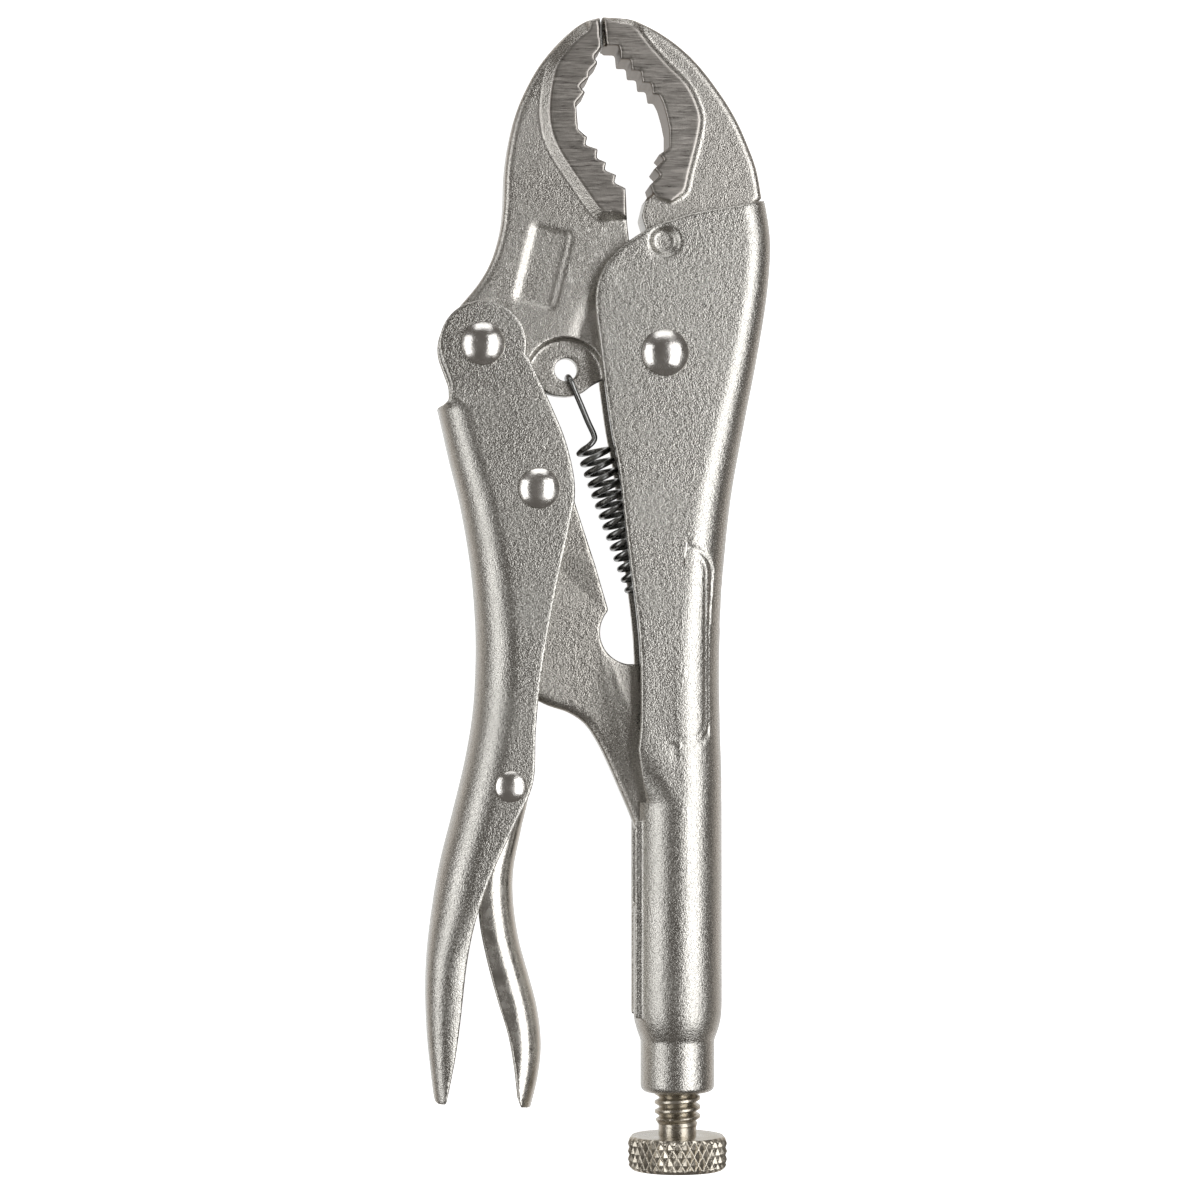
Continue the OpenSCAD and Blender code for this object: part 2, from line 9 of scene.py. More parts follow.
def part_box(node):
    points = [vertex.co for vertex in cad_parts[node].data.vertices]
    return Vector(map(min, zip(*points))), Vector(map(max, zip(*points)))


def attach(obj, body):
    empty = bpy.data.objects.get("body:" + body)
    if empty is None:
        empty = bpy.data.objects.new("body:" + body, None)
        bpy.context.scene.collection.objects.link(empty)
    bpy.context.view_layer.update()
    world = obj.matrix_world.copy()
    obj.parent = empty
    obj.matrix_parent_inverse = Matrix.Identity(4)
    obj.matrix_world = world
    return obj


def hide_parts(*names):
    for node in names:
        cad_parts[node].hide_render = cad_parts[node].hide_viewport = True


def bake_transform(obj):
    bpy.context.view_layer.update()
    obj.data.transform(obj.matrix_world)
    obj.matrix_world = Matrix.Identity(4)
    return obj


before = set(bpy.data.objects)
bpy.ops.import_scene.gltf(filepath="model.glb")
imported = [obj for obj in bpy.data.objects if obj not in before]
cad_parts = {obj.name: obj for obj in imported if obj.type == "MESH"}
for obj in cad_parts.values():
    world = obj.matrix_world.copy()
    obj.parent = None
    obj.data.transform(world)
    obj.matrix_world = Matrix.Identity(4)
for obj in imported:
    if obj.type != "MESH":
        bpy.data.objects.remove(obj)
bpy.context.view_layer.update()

# Shapes are drawn in millimetres about the main pivot, in the mid-plane of the tool, with X
# across the tool and Y towards the jaw tips. to_row() takes a finished mesh to the row frame.
MM = 0.001
PIVOT = sum(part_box("main_pivot_rivet"), Vector()) / 2
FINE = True

SHEET = 2.0
HALF_W = 6.7
HALF_GAP = HALF_W - SHEET
FOLD = 4.6
GAP = 0.05
MAIN = (0.0, 0.0)
JAW_RIVET = (-27.6, 1.2)
LINK_RIVET = (-19.1, -20.6)
LEVER_RIVET = (-23.4, -65.6)
MAIN_D = 5.0
JAW_RIVET_D = 4.6
LINK_RIVET_D = 4.2
LEVER_RIVET_D = 3.2
SCREW_X = 2.4
TUBE_R = 6.8
TUBE_TOP = -68
CHANNEL_END = -68.5
TUBE_END = -112.5
SLOT_END = -84
TUBE_CURL = 48
THREAD_R = 3.5


# --- Outlines ---------------------------------------------------------------------------

def curve(points, steps):
    """Smooth curve through the points, with steps pieces between neighbours."""
    p = [np.array(q, float) for q in points]
    made = []
    for i in range(len(p) - 1):
        a, b, c, d = p[max(i - 1, 0)], p[i], p[i + 1], p[min(i + 2, len(p) - 1)]
        for k in range(steps):
            u = k / steps
            made.append(0.5 * (2 * b + (c - a) * u + (2 * a - 5 * b + 4 * c - d) * u ** 2
                               + (3 * b - a - 3 * c + d) * u ** 3))
    return [tuple(q) for q in made] + [tuple(p[-1])]


def arc(centre, radius, start, end, steps=24):
    """Round stretch about centre, from angle start to angle end in degrees."""
    turns = np.radians(np.linspace(start, end, steps + 1))
    return [(centre[0] + radius * math.cos(a), centre[1] + radius * math.sin(a)) for a in turns]


def lookup(value, table):
    """Straight-line reading of a table of (place, value) pairs."""
    table = sorted(table)
    return float(np.interp(value, [t[0] for t in table], [t[1] for t in table]))


# --- Meshes -----------------------------------------------------------------------------

def make(name, points, faces):
    """Closed mesh with its faces turned outwards and its doubled points merged."""
    mesh = bpy.data.meshes.new(name)
    mesh.from_pydata([tuple(float(x) for x in p) for p in points], [], faces)
    bm = bmesh.new()
    bm.from_mesh(mesh)
    bmesh.ops.remove_doubles(bm, verts=bm.verts, dist=1e-5)
    bmesh.ops.recalc_face_normals(bm, faces=bm.faces)
    bm.to_mesh(mesh)
    bm.free()
    obj = bpy.data.objects.new(name, mesh)
    bpy.context.scene.collection.objects.link(obj)
    return obj


def stack(name, rings, closed=False):
    """Skin over a stack of rings with equally many points: capped, or closed into a loop."""
    count, last = len(rings[0]), len(rings) - 1
    faces = []
    for i in range(last + 1 if closed else last):
        a, b = i * count, (i + 1) % len(rings) * count
        faces += [(a + k, a + (k + 1) % count, b + (k + 1) % count, b + k) for k in range(count)]
    if not closed:
        faces += [tuple(range(count)), tuple(range(last * count, (last + 1) * count))]
    return make(name, [p for ring in rings for p in ring], faces)


def prism(name, outline, low, high):
    return stack(name, [[(x, y, z) for x, y in outline] for z in (low, high)])


def block(name, low, high):
    """Box between two corners."""
    (x0, y0, z0), (x1, y1, z1) = low, high
    return prism(name, [(x0, y0), (x1, y0), (x1, y1), (x0, y1)], z0, z1)


def lathe_z(name, at, profile, steps=64):
    """Turned piece about an axis along Z at a point: the profile is (radius, z) pairs."""
    turns = [2 * math.pi * k / steps for k in range(steps)]
    return stack(name, [
        [(at[0] + r * math.cos(a), at[1] + r * math.sin(a), z) for a in turns]
        for r, z in profile])


def lathe_y(name, profile, steps=96, closed=False):
    """Turned piece about the screw's axis: the profile is (radius, y) pairs."""
    turns = [2 * math.pi * k / steps for k in range(steps)]
    return stack(name, [
        [(SCREW_X + r * math.cos(a), y, r * math.sin(a)) for a in turns]
        for r, y in profile], closed)


def rounded_plate(name, outline, half, radii, steps=6, drop=None):
    """Plate from -half to half whose upper and lower edges are rounded by radii[i] at point i.

    With a drop the rounding is that much high, and one step makes it a straight slope.
    """
    p = np.array(outline, float)
    radii = np.array(radii, float)
    following = np.roll(p, -1, 0)
    if (p[:, 0] * following[:, 1] - following[:, 0] * p[:, 1]).sum() < 0:
        p, radii = p[::-1], radii[::-1]
    side = np.roll(p, -1, 0) - p
    side /= np.linalg.norm(side, axis=1)[:, None]
    inward = np.stack([-side[:, 1], side[:, 0]], 1)
    before = np.roll(inward, 1, 0)
    middle = inward + before
    middle /= np.maximum(np.linalg.norm(middle, axis=1), 1e-6)[:, None]
    miter = middle / np.maximum((middle * inward).sum(1), 0.5)[:, None]
    upper = []
    for k in range(steps + 1):
        a = math.pi / 2 * k / steps
        flat = p + miter * (radii * (1 - math.cos(a)))[:, None]
        down = (radii if drop is None else drop) * (1 - math.sin(a))
        upper.append(np.column_stack([flat, half - down + 0 * radii]))
    lower = [ring * (1, 1, -1) for ring in reversed(upper)]
    return stack(name, lower + upper)


def settle(obj):
    """Applies the object's modifiers."""
    graph = bpy.context.evaluated_depsgraph_get()
    graph.update()
    mesh = bpy.data.meshes.new_from_object(obj.evaluated_get(graph))
    obj.modifiers.clear()
    obj.data = mesh
    return obj


def boolean(obj, other, operation):
    modifier = obj.modifiers.new("boolean", "BOOLEAN")
    modifier.operation, modifier.solver, modifier.object = operation, "EXACT", other
    settle(obj)
    bpy.data.objects.remove(other)
    return obj


def cut(obj, *others):
    for other in others:
        boolean(obj, other, "DIFFERENCE")
    return obj


def joined(obj, *others):
    """One object that holds the meshes of all."""
    bm = bmesh.new()
    for o in (obj, *others):
        bm.from_mesh(o.data)
    bm.to_mesh(obj.data)
    bm.free()
    for o in others:
        bpy.data.objects.remove(o)
    return obj


def softened(obj, voxel, passes, most=190000):
    """The object as one skin with softly rounded edges, with at most so many triangles."""
    remesh = obj.modifiers.new("remesh", "REMESH")
    remesh.mode, remesh.voxel_size = "VOXEL", voxel if FINE else 2 * voxel
    smooth = obj.modifiers.new("smooth", "SMOOTH")
    smooth.factor, smooth.iterations = 0.5, passes if FINE else 1
    settle(obj)
    triangles = 2 * len(obj.data.polygons)
    if triangles > most:
        decimate = obj.modifiers.new("decimate", "DECIMATE")
        decimate.ratio = most / triangles
        settle(obj)
    return obj


def pin_hole(at, diameter):
    return lathe_z("hole", at, [(diameter / 2 + GAP, -12), (diameter / 2 + GAP, 12)])


def moved_points(obj, change):
    """Replaces the mesh's points by change(points, normals)."""
    mesh = obj.data
    points = np.empty(len(mesh.vertices) * 3)
    normals = np.empty(len(mesh.vertices) * 3, np.float32)
    mesh.vertices.foreach_get("co", points)
    mesh.vertex_normals.foreach_get("vector", normals)
    points = change(points.reshape(-1, 3), normals.reshape(-1, 3).astype(float))
    mesh.vertices.foreach_set("co", points.ravel())
    mesh.update()


def to_row(obj, node, body, slot, *materials):
    """Places a finished piece in the row frame, on its body, in the stead of its CAD node."""
    moved_points(obj, lambda points, normals: points * MM + np.array(PIVOT))
    obj.data.materials.clear()
    for material in materials:
        obj.data.materials.append(material)
    obj.data.shade_smooth()
    if node != "return_spring":
        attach(obj, body)
    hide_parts(node)
    return obj


# --- Materials --------------------------------------------------------------------------

class Shader:
    """A material's node tree, with short calls for its nodes and links."""

    def __init__(self, name):
        self.material = bpy.data.materials.new(name)
        self.material.use_nodes = True
        self.tree = self.material.node_tree
        self.bsdf = self.tree.nodes["Principled BSDF"]
        self.coords = self.tree.nodes.new("ShaderNodeTexCoord").outputs["Object"]

    def noise(self, per_mm, detail=2.0, roughness=0.5, stretch=(1, 1, 1), turn=0.0):
        """Noise with so many cells per millimetre, stretched along the axes."""
        mapping = self.tree.nodes.new("ShaderNodeMapping")
        mapping.inputs["Scale"].default_value = [per_mm / MM * s for s in stretch]
        mapping.inputs["Rotation"].default_value = (0, 0, math.radians(turn))
        texture = self.tree.nodes.new("ShaderNodeTexNoise")
        texture.inputs["Scale"].default_value = 1
        texture.inputs["Detail"].default_value = detail
        texture.inputs["Roughness"].default_value = roughness
        self.tree.links.new(self.coords, mapping.inputs["Vector"])
        self.tree.links.new(mapping.outputs["Vector"], texture.inputs["Vector"])
        return texture.outputs["Fac"]

    def ranged(self, value, low, high, from_low=0.3, from_high=0.7):
        node = self.tree.nodes.new("ShaderNodeMapRange")
        settings = {"From Min": from_low, "From Max": from_high, "To Min": low, "To Max": high}
        for key, number in settings.items():
            node.inputs[key].default_value = number
        self.tree.links.new(value, node.inputs["Value"])
        return node.outputs["Result"]

    def mixed(self, factor, first, second, blend="MIX"):
        """Mix of two colours, each an output or a plain colour."""
        node = self.tree.nodes.new("ShaderNodeMix")
        node.data_type, node.blend_type = "RGBA", blend
        self.tree.links.new(factor, node.inputs["Factor"])
        for socket, colour in ((node.inputs[6], first), (node.inputs[7], second)):
            if isinstance(colour, tuple):
                socket.default_value = (*colour, 1)
            else:
                self.tree.links.new(colour, socket)
        return node.outputs[2]

    def added(self, first, second, operation="ADD"):
        node = self.tree.nodes.new("ShaderNodeMath")
        node.operation = operation
        self.tree.links.new(first, node.inputs[0])
        self.tree.links.new(second, node.inputs[1])
        return node.outputs[0]

    def edges(self, low=0.57, high=0.7):
        """Mask for the painted edge highlight: 1 on sharp outer edges, 0 elsewhere."""
        pointiness = self.tree.nodes.new("ShaderNodeNewGeometry").outputs["Pointiness"]
        return self.ranged(pointiness, 0, 1, low, high)

    def bumped(self, height, depth_mm, strength=1.0, normal=None):
        node = self.tree.nodes.new("ShaderNodeBump")
        node.inputs["Strength"].default_value = strength
        node.inputs["Distance"].default_value = depth_mm * MM
        self.tree.links.new(height, node.inputs["Height"])
        if normal is not None:
            self.tree.links.new(normal, node.inputs["Normal"])
        return node.outputs["Normal"]

    def finish(self, colour, roughness, normal=None):
        links, inputs = self.tree.links, self.bsdf.inputs
        inputs["Metallic"].default_value = 1.0
        links.new(colour, inputs["Base Color"])
        links.new(roughness, inputs["Roughness"])
        if normal is not None:
            links.new(normal, inputs["Normal"])
        return self.material


def shade(colour, by):
    return tuple(c * by for c in colour)


def blasted_nickel(name, colour, rough, cells, depth):
    """Nickel plate over shot-blasted steel: fine grain, soft clouds, and a painted highlight on
    sharp edges.
    """
    s = Shader(name)
    grain = s.noise(cells, 2.5, 0.6)
    dents = s.noise(cells * 0.3, 2.0)
    clouds = s.noise(0.09, 3.0)
    speckled = s.mixed(s.ranged(grain, 0, 1), shade(colour, 0.64), shade(colour, 1.3))
    tone = s.mixed(s.ranged(clouds, 0, 0.35), speckled, shade(colour, 0.9))
    # Painted highlight: the sharp outer edges are given a light colour.
    edge_highlight = s.mixed(s.edges(), tone, (0.8, 0.78, 0.74))
    roughness = s.ranged(s.added(clouds, grain), rough - 0.07, rough + 0.08, 0.7, 1.3)
    fine = s.bumped(grain, depth)
    return s.finish(edge_highlight, roughness, s.bumped(dents, depth * 1.2, 0.6, fine))


def ground_steel(name, colour, rough):
    """Ground face: lines of the grinding wheel nearly across the tool."""
    s = Shader(name)
    lines = s.noise(4.2, 3.0, 0.75, (0.07, 1, 0.3), turn=-7)
    streaks = s.noise(0.8, 2.0, 0.5, (0.3, 1, 0.3), turn=-7)
    tone = s.mixed(s.ranged(lines, 0, 1), shade(colour, 0.6), shade(colour, 1.38))
    broad = s.mixed(s.ranged(streaks, 0, 0.3), tone, shade(colour, 1.1))
    roughness = s.ranged(lines, rough - 0.08, rough + 0.1)
    return s.finish(broad, roughness, s.bumped(lines, 0.022))


def polished_nickel(name, colour, rough, depth=0.012):
    """Bright plated metal with faint smears and small dents."""
    s = Shader(name)
    smears = s.noise(0.5, 4.0, 0.6)
    fine = s.noise(3.0, 2.0)
    tone = s.mixed(s.ranged(smears, 0, 1), shade(colour, 0.9), shade(colour, 1.05))
    roughness = s.ranged(smears, rough * 0.7, rough * 1.4)
    return s.finish(tone, roughness, s.bumped(fine, depth))


HANDLE_NICKEL = blasted_nickel("handle_nickel", (0.56, 0.546, 0.514), 0.25, 4.4, 0.075)
LINK_NICKEL = blasted_nickel("link_nickel", (0.52, 0.50, 0.465), 0.27, 4.2, 0.075)
JAW_NICKEL = blasted_nickel("jaw_nickel", (0.58, 0.56, 0.525), 0.28, 4.4, 0.068)
GROUND_STEEL = ground_steel("ground_steel", (0.40, 0.378, 0.352), 0.34)
TOOTH_STEEL = ground_steel("tooth_steel", (0.26, 0.228, 0.195), 0.45)
RIVET_NICKEL = polished_nickel("rivet_nickel", (0.74, 0.72, 0.69), 0.22, 0.02)
LEVER_NICKEL = polished_nickel("lever_nickel", (0.62, 0.6, 0.56), 0.24, 0.03)
SCREW_NICKEL = polished_nickel("screw_nickel", (0.52, 0.48, 0.41), 0.27, 0.03)
SPRING_STEEL = polished_nickel("spring_steel", (0.34, 0.345, 0.34), 0.26)


# --- Folded channels --------------------------------------------------------------------
# One section is (y, back, lip, half width, fold radius, lip curl, thickness). The fold radii
# are larger than the CAD's, and to_row() keeps everything in the CAD's frame.

CURL_RUN = 1.5
EDGE_CURL = 8
CURL_STEPS = 8
FOLD_STEPS = 16


def wall(s, radius, side, up):
    """One wall of a section, from the lip to the middle of the back."""
    y, back, lip, half, fold, curl, _ = s
    middle = half - fold
    points = []
    for k in range(CURL_STEPS, -1, -1):
        u = k / CURL_STEPS
        a = math.radians(curl * u)
        run = CURL_RUN * max(0, 1 - curl / TUBE_CURL) * u
        points.append((lip - side * (run + radius * math.sin(a)), y,
                       up * (middle + radius * math.cos(a))))
    for k in range(FOLD_STEPS + 1):
        a = math.pi / 2 * k / FOLD_STEPS
        points.append((back - side * (fold - radius * math.sin(a)), y,
                       up * (middle + radius * math.cos(a))))
    return points


def channel(name, sections, side):
    rings = []
    for s in sections:
        outer, inner = s[4], s[4] - s[6]
        rings.append(wall(s, outer, side, 1) + wall(s, outer, side, -1)[::-1]
                     + wall(s, inner, side, -1) + wall(s, inner, side, 1)[::-1])
    return stack(name, rings)


# --- Fixed side -------------------------------------------------------------------------

FIXED_BACK = [
    (14.6, 27), (15.8, 22), (16.4, 16.5), (15.9, 9), (14.3, -1), (12.4, -11), (10.5, -22),
    (9.3, -34), (8.8, -46), (8.9, -56), (9.15, -64), (9.15, CHANNEL_END)]
FIXED_LIP = [
    (CHANNEL_END, SCREW_X), (-60, -2), (-56, -2.4), (-50, -5), (-20, -9), (0, -12), (27, -14)]
FIXED_HALF = [(TUBE_TOP, HALF_W + 0.05), (-58, HALF_W)]
FIXED_FOLD = [(TUBE_TOP, HALF_W - 0.1), (-45, 6.4), (-22, 5.7), (0, 4.4), (15, 4.0)]
FIXED_CURL = [(TUBE_TOP, TUBE_CURL), (-60, 8), (-58, 6)]
FIXED_EDGE = curve([
    (18, 24.4), (15.5, 23.6), (12.3, 22.7), (8.1, 22), (3.6, 21.1), (-2.4, 18.9),
    (-7.2, 15.6), (-9.7, 12.2), (-10.6, 8), (-9.9, 1), (-8.3, -11), (-7, -18),
    (-5.6, -30), (-4.3, -40), (-3.8, -47), (-3.8, -57), (-4.8, -61.5), (-8, -64)], 8)
DIMPLE = (-0.15, 16.9)
TAB_Y = -42.2
BADGE = (3.3, -44.5)
BADGE_HALF = (3.8, 15.0)
SLOT_HALF = 2.9
SEAM_HALF = 0.3
RAIL_BOTTOM = -101
RAIL_FROM, RAIL_WIDTH, RAIL_DEEP = 3.0, 0.75, 1.15


def tube():
    outer = ([(TUBE_R, TUBE_TOP), (TUBE_R, -99)]
             + curve([(TUBE_R, -99), (TUBE_R - 0.12, -101), (TUBE_R - 0.5, -102.8),
                      (5.65, -104.6)], 6)
             + arc((4.65, -111.5), 1, 0, -90, 8))
    inner = [(THREAD_R + GAP, TUBE_END), (THREAD_R + GAP, -104), (TUBE_R - SHEET, -101),
             (TUBE_R - SHEET, TUBE_TOP)]
    return lathe_y("tube", outer + inner, closed=True)


def badge_groove(points, normals):
    """Sinks a plain pill-shaped line into the upper face."""
    straight = BADGE_HALF[1] - BADGE_HALF[0]
    across = points[:, 0] - BADGE[0]
    along = points[:, 1] - BADGE[1]
    along = np.sign(along) * np.maximum(np.abs(along) - straight, 0)
    distance = np.hypot(across, along)
    sunk = np.zeros(len(points))
    for radius, width, depth in ((BADGE_HALF[0], 0.42, 0.2), (BADGE_HALF[0] - 0.95, 0.3, 0.1)):
        sunk += depth * np.exp(-((distance - radius) / width) ** 2)
    sunk *= (normals[:, 2] > 0.35) & (points[:, 2] > HALF_GAP + 0.3)
    return points - normals * sunk[:, None]


def tail_slot():
    """Opening in the tube's left side that the link's tail works through."""
    wall_x = SCREW_X - TUBE_R
    return block("slot", (wall_x - 2, SLOT_END, -SLOT_HALF),
                 (wall_x + 3, TUBE_TOP + 0.5, SLOT_HALF))


def fixed_handle():
    """Channel that closes into a tube, with the slot, seam, spring tab and badge."""
    sections = [
        (y, x, lookup(y, FIXED_LIP), lookup(y, FIXED_HALF), lookup(y, FIXED_FOLD),
         lookup(y, FIXED_CURL), SHEET) for x, y in curve(FIXED_BACK, 10)]
    shell = channel("fixed_handle_sheet", sections, 1)
    outline = [(24, 26), *FIXED_EDGE, (-12, -66), (-12, -72), (24, -72)]
    boolean(shell, prism("edge", outline, -14, 14), "INTERSECT")
    wall_x = SCREW_X - TUBE_R
    cut(shell, pin_hole(MAIN, MAIN_D),
        block("window", (5.6, TAB_Y + 0.9, -1.5), (13.6, TAB_Y + 9.3, 1.5)), tail_slot())
    for up in (-1, 1):
        cut(shell, lathe_z("dimple", DIMPLE, [
            (1.5, up * (HALF_W - 0.9)), (2.4, up * HALF_W), (2.4, up * (HALF_W + 1))]))
    seam = block("seam", (wall_x - 2, TUBE_END - 1, -SEAM_HALF),
                 (wall_x + 0.8, SLOT_END + 1, SEAM_HALF))
    barrel = cut(tube(), tail_slot(), seam)
    tab = block("tab", (-1.2, TAB_Y - 0.9, -1.2), (8, TAB_Y + 0.9, 1.2))
    rails = [block("rail", (wall_x, RAIL_BOTTOM, low),
                   (wall_x + RAIL_DEEP, TUBE_TOP - 3, low + RAIL_WIDTH))
             for low in (-RAIL_FROM - RAIL_WIDTH, RAIL_FROM)]
    softened(joined(shell, barrel, tab, *rails), voxel=0.24, passes=5)
    moved_points(shell, badge_groove)
    to_row(shell, "fixed_handle", "fixed_side", "handle_nickel", HANDLE_NICKEL)


FIXED_JAW_BACK = curve([
    (-9.55, 51.15), (-5.4, 51), (-3.3, 50.3), (-0.4, 48.8), (2.8, 46.5), (5.8, 43.5),
    (9.1, 39.1), (11.3, 35.4), (12.9, 31.8), (14.2, 28.2), (15, 23.8)], 6)
FIXED_TEETH = [
    (-2.8, 23.6), (-1.8, 24.4), (-2.2, 25.6), (-0.7, 27.1), (-1.6, 28), (-0.1, 29.5),
    (-0.9, 30.2), (0.7, 31.3), (0.7, 34), (0.3, 36), (-0.3, 38.1), (-0.9, 39.3),
    (-1.8, 39.3), (-2.1, 41.1), (-3.4, 41.1), (-3.6, 42.9), (-5, 42.9), (-5.2, 44.6),
    (-6.7, 44.6), (-6.9, 46.7), (-8.8, 46.7)]
FIXED_GROUND = curve([
    (-9.3, 51), (-5.6, 50.9), (-3.6, 50), (-1.7, 47.6), (0.9, 44.7), (4.2, 41.3),
    (6.2, 36.8), (6.1, 33.5), (4.7, 27.8), (3.6, 24), (1, 22.9)], 6)
EYE_R = 7.4
JAW_HALF = 4.6
GROUND_HALF = 5.2


def ground_pad(name, slope, teeth, width, drop):
    """Raised ground face, with a sloped step along slope and upright walls at the teeth."""
    outline = slope + teeth
    ramp = [min(1, k / 4, (len(slope) - 1 - k) / 4) for k in range(len(slope))]
    radii = [width * max(r, 0.15) for r in ramp] + [0.06] * len(teeth)
    return rounded_plate(name, outline, GROUND_HALF, radii, 1, drop)


def toothed(points, mouth, reach):
    """Which points lie within reach of the mouth's outline, in plan."""
    nearest = np.full(len(points), 1e9)
    for a, b in zip(np.array(mouth[:-1], float), np.array(mouth[1:], float)):
        along = np.clip(((points - a) @ (b - a)) / ((b - a) @ (b - a)), 0, 1)
        nearest = np.minimum(nearest, np.linalg.norm(points - a - along[:, None] * (b - a), axis=1))
    return nearest < reach


def paint_jaw(obj, mouth):
    """Gives the ground faces the second material and the tooth walls the third."""
    mesh = obj.data
    count = len(mesh.polygons)
    centres, normals = np.empty(count * 3), np.empty(count * 3)
    mesh.polygons.foreach_get("center", centres)
    mesh.polygons.foreach_get("normal", normals)
    centres = (centres.reshape(-1, 3) - np.array(PIVOT)) / MM
    normals = normals.reshape(-1, 3)
    which = np.zeros(count, int)
    which[(np.abs(centres[:, 2]) > GROUND_HALF - 0.12) & (np.abs(normals[:, 2]) > 0.5)] = 1
    which[(which == 0) & toothed(centres[:, :2], mouth, 0.4)] = 2
    mesh.polygons.foreach_set("material_index", which)
    mesh.update()


def fixed_jaw():
    shank = [(13.3, 22.6), (12.9, 19), (11.6, 12), (10.6, 4), (9.4, -2.4),
             *arc(MAIN, EYE_R + 0.5, -8, 96), (-2.7, 18.6), (-3.4, 20.9)]
    inset = [(x + 0.08, y) for x, y in FIXED_TEETH]
    outline = FIXED_JAW_BACK + shank + inset
    radii = ([0.9 * min(1, k / 6) + 0.2 for k in range(len(FIXED_JAW_BACK))]
             + [0.2] * (len(shank) + len(inset)))
    jaw = rounded_plate("fixed_jaw_forging", outline, JAW_HALF, radii)
    for up in (-1, 1):
        cut(jaw, lathe_z("stake", DIMPLE, [(2.2, up * (HALF_GAP - 0.8)), (2.2, up * HALF_W)]))
    pad = ground_pad("pad", FIXED_GROUND, [(-1, 23.6), *FIXED_TEETH[1:]], 1.0, 0.8)
    tip = prism("tip", [(-9.5, 50.9), (-8, 50.9), (-8, 46.8), (-9.3, 46.8)], -3.6, 3.6)
    softened(joined(jaw, pad, tip), voxel=0.2, passes=2)
    to_row(jaw, "fixed_jaw", "fixed_side", "jaw_nickel", JAW_NICKEL, GROUND_STEEL, TOOTH_STEEL)
    paint_jaw(jaw, FIXED_TEETH)


# --- Movable jaw ------------------------------------------------------------------------

MOVABLE_BACK = curve([
    (-9.7, 51.2), (-11.6, 50.8), (-13.6, 49.6), (-16.2, 47.2), (-18.9, 43.9), (-20.9, 40.4),
    (-22.5, 36.6), (-23.6, 32), (-24.2, 27.5), (-24.4, 22.5), (-24.9, 18.5),
    (-26.2, 14.2), (-28.2, 10.6), (-31, 7.2)], 6)
MOVABLE_TEETH = [
    (-5.2, 17.4), (-5.7, 21.5), (-5.9, 25.1), (-7.6, 25.9), (-7.3, 27.1), (-9.1, 27.8),
    (-8.8, 29), (-10.3, 29.6), (-10.1, 31), (-12, 31.6), (-11.7, 32.8), (-13.1, 34),
    (-13.4, 38), (-12, 39.6), (-12.9, 40.5), (-11.4, 41.9), (-11.5, 42.6), (-10.1, 44.1),
    (-10.7, 45), (-9.6, 46.4)]
MOVABLE_GROUND = [(-9.85, 51.1)] + curve([
    (-11.5, 50.75), (-13.5, 49.5), (-15.9, 47.1), (-18.1, 43.6), (-19.1, 38.4),
    (-18.9, 34), (-17.4, 30), (-13.9, 24.7), (-10.8, 20.6), (-8.6, 19.8), (-5.6, 20.6)], 6)
MOVABLE_HALF = 3.9
LUG = (-15, -3.6)
LUG_R = 6.1
LUG_HALF = 1.7
HOOK = (-14.8, -2.3)
PANEL = (-18.4, 13.2)
PANEL_HALF = (3.1, 6.1)
PANEL_LEAN = math.radians(-14)


def jaw_relief(points, normals):
    """Sinks the blank panel, and a soft valley round the pivot, into the forged faces."""
    x, y = points[:, 0] - PANEL[0], points[:, 1] - PANEL[1]
    c, s = math.cos(PANEL_LEAN), math.sin(PANEL_LEAN)
    across, along = np.abs(c * x + s * y), np.abs(c * y - s * x)
    outside = np.hypot(np.maximum(across - PANEL_HALF[0] + 1, 0),
                       np.maximum(along - PANEL_HALF[1] + 1, 0)) - 1
    panel = 0.42 / (1 + np.exp(np.clip((outside + 0.2) / 0.19, -30, 30)))
    on_top = (normals[:, 2] > 0.5) & (points[:, 2] > MOVABLE_HALF - 0.3)
    from_pivot = np.hypot(points[:, 0], points[:, 1])
    valley = 0.22 * np.exp(-((from_pivot - 13.2) / 1.1) ** 2)
    valley *= points[:, 1] > -2
    flat = (np.abs(normals[:, 2]) > 0.5) & (np.abs(np.abs(points[:, 2]) - MOVABLE_HALF) < 0.3)
    sunk = panel * on_top + valley * flat * (panel < 0.02)
    return points - normals * sunk[:, None]


def movable_jaw():
    eye = [*arc(JAW_RIVET, 6.2, 128, 318),
           *curve([(-20.8, -2.6), (-17.9, -5.7), (-15.2, -6.4), (-12.7, -6), (-10.8, -4.7),
                   (-9.2, -3.8)], 6),
           *arc(MAIN, EYE_R, 208, 460, 40), (-4, 10.5), (-5, 14)]
    inset = [(x - 0.08, y) for x, y in MOVABLE_TEETH]
    outline = MOVABLE_BACK + eye + inset
    radii = ([0.9 * min(1, k / 6) + 0.2 for k in range(len(MOVABLE_BACK))]
             + [0.3] * (len(eye) + len(inset)))
    jaw = rounded_plate("movable_jaw_forging", outline, MOVABLE_HALF, radii)
    cut(jaw, pin_hole(MAIN, MAIN_D), pin_hole(JAW_RIVET, JAW_RIVET_D),
        lathe_z("hook_hole", HOOK, [(1.75, -10), (1.75, 10)]))
    for up in (-1, 1):
        cut(jaw, lathe_z("lug_step", LUG, [
            (LUG_R - 0.5, up * LUG_HALF), (LUG_R, up * (LUG_HALF + 0.6)), (LUG_R, up * 9)]))
    pad = ground_pad("pad", MOVABLE_GROUND, MOVABLE_TEETH[2:], 1.7, 1.5)
    softened(joined(jaw, pad), voxel=0.2, passes=2)
    moved_points(jaw, jaw_relief)
    to_row(jaw, "movable_jaw", "movable_jaw", "jaw_nickel", JAW_NICKEL, GROUND_STEEL, TOOTH_STEEL)
    paint_jaw(jaw, MOVABLE_TEETH[2:])


# --- Movable handle ---------------------------------------------------------------------

